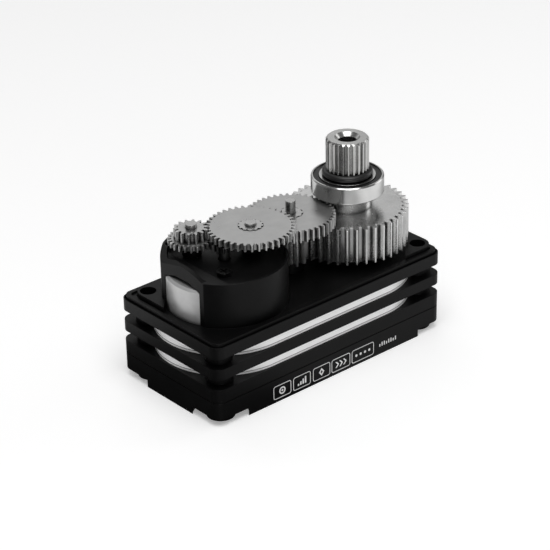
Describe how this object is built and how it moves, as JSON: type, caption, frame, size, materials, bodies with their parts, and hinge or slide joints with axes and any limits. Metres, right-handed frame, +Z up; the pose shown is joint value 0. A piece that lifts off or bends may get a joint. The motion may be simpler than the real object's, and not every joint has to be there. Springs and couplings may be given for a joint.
{
  "type": "servo motor",
  "caption": "Compact metal-gear servo with its top cover off: finned black case, motor in a round turret, open spur gear train, ball bearing and splined output shaft.",
  "frame": {"origin": "middle of the case's underside, centred on the 40.5 mm length and 20 mm width", "axes": "+X along the case towards the output shaft, +Z up along the output shaft, +Y to the left side"},
  "size_m": [0.0406, 0.02, 0.0282],
  "materials": {
    "black_anodised": "satin black anodised",
    "seal_rubber": "matt",
    "motor_steel": "plated, satin",
    "board_plastic": "moulded",
    "dark_steel": "laminated",
    "copper_wire": "enamelled copper wire",
    "magnet_grey": "nickel plated magnet",
    "polished_steel": "ground and polished",
    "bearing_steel": "ground",
    "screw_steel": "zinc plated",
    "wheel_steel": "hobbed, turned faces",
    "pinion_steel": "hobbed",
    "output_steel": "machined",
    "cage_dark": "moulded cage",
    "board_green": "solder mask",
    "chip_black": "moulded",
    "capacitor_sleeve": "shrink sleeve"
  },
  "bodies": {
    "housing": {"middle_case": "black_anodised", "bottom_cover": "black_anodised", "cover_seal": "seal_rubber", "cable_grommet": "seal_rubber", "motor_can": "motor_steel", "motor_end_cap": "board_plastic", "motor_yoke": "dark_steel", "motor_winding": "copper_wire", "motor_upper_bearing": "bearing_steel", "motor_lower_bearing": "bearing_steel", "motor_screws": "screw_steel", "gear_a_pin": "polished_steel", "gear_b_pin": "polished_steel", "gear_c_pin": "polished_steel", "lower_bearing_outer": "bearing_steel", "control_board": "board_green", "board_chips": "chip_black", "board_capacitor": "capacitor_sleeve", "sensor_board": "board_green", "sensor_chip": "chip_black"},
    "output": {"output_gear": "output_steel", "output_shaft": "output_steel", "output_o_ring": "seal_rubber", "upper_bearing_inner": "bearing_steel", "upper_bearing_balls": "polished_steel", "upper_bearing_cage": "cage_dark", "lower_bearing_inner": "bearing_steel", "lower_bearing_balls": "polished_steel", "sensor_magnet": "magnet_grey"},
    "bearing_ring": {"upper_bearing_outer": "bearing_steel", "upper_bearing_seal": "seal_rubber"},
    "compound_c": {"gear_c_wheel": "wheel_steel", "gear_c_pinion": "pinion_steel"},
    "compound_b": {"gear_b_wheel": "wheel_steel", "gear_b_pinion": "pinion_steel"},
    "compound_a": {"gear_a_wheel": "wheel_steel", "gear_a_pinion": "pinion_steel"},
    "rotor": {"motor_shaft": "polished_steel", "motor_magnet": "magnet_grey", "motor_pinion": "pinion_steel"}
  },
  "joints": [
    {"name": "output_spin", "type": "hinge", "parent": "housing", "child": "output", "pos_m": [0.0118, 0, 0.018], "axis": [0, 0, 1], "range_deg": [-90, 90]},
    {"name": "bearing_ring_spin", "type": "hinge", "parent": "output", "child": "bearing_ring", "pos_m": [0.0118, 0, 0.0215], "axis": [0, 0, 1], "continuous": true},
    {"name": "compound_c_spin", "type": "hinge", "parent": "housing", "child": "compound_c", "pos_m": [0.00181, 0.00045, 0.018], "axis": [0, 0, 1], "range_deg": [-360.9, 360.9]},
    {"name": "compound_b_spin", "type": "hinge", "parent": "housing", "child": "compound_b", "pos_m": [-0.00587, -0.00033, 0.018], "axis": [0, 0, 1], "range_deg": [-1165.4, 1165.4]},
    {"name": "compound_a_spin", "type": "hinge", "parent": "housing", "child": "compound_a", "pos_m": [-0.01234, 0.00409, 0.018], "axis": [0, 0, 1], "range_deg": [-3329.72, 3329.72]},
    {"name": "motor_spin", "type": "hinge", "parent": "housing", "child": "rotor", "pos_m": [-0.0102, 0, 0.018], "axis": [0, 0, 1], "range_deg": [-6147.18, 6147.18]}
  ],
  "couplings": [
    {"joint": "compound_c_spin", "follows": "output_spin", "ratio": -4},
    {"joint": "compound_b_spin", "follows": "output_spin", "ratio": 12.923},
    {"joint": "compound_a_spin", "follows": "output_spin", "ratio": -36.923},
    {"joint": "motor_spin", "follows": "output_spin", "ratio": 68.166}
  ]
}
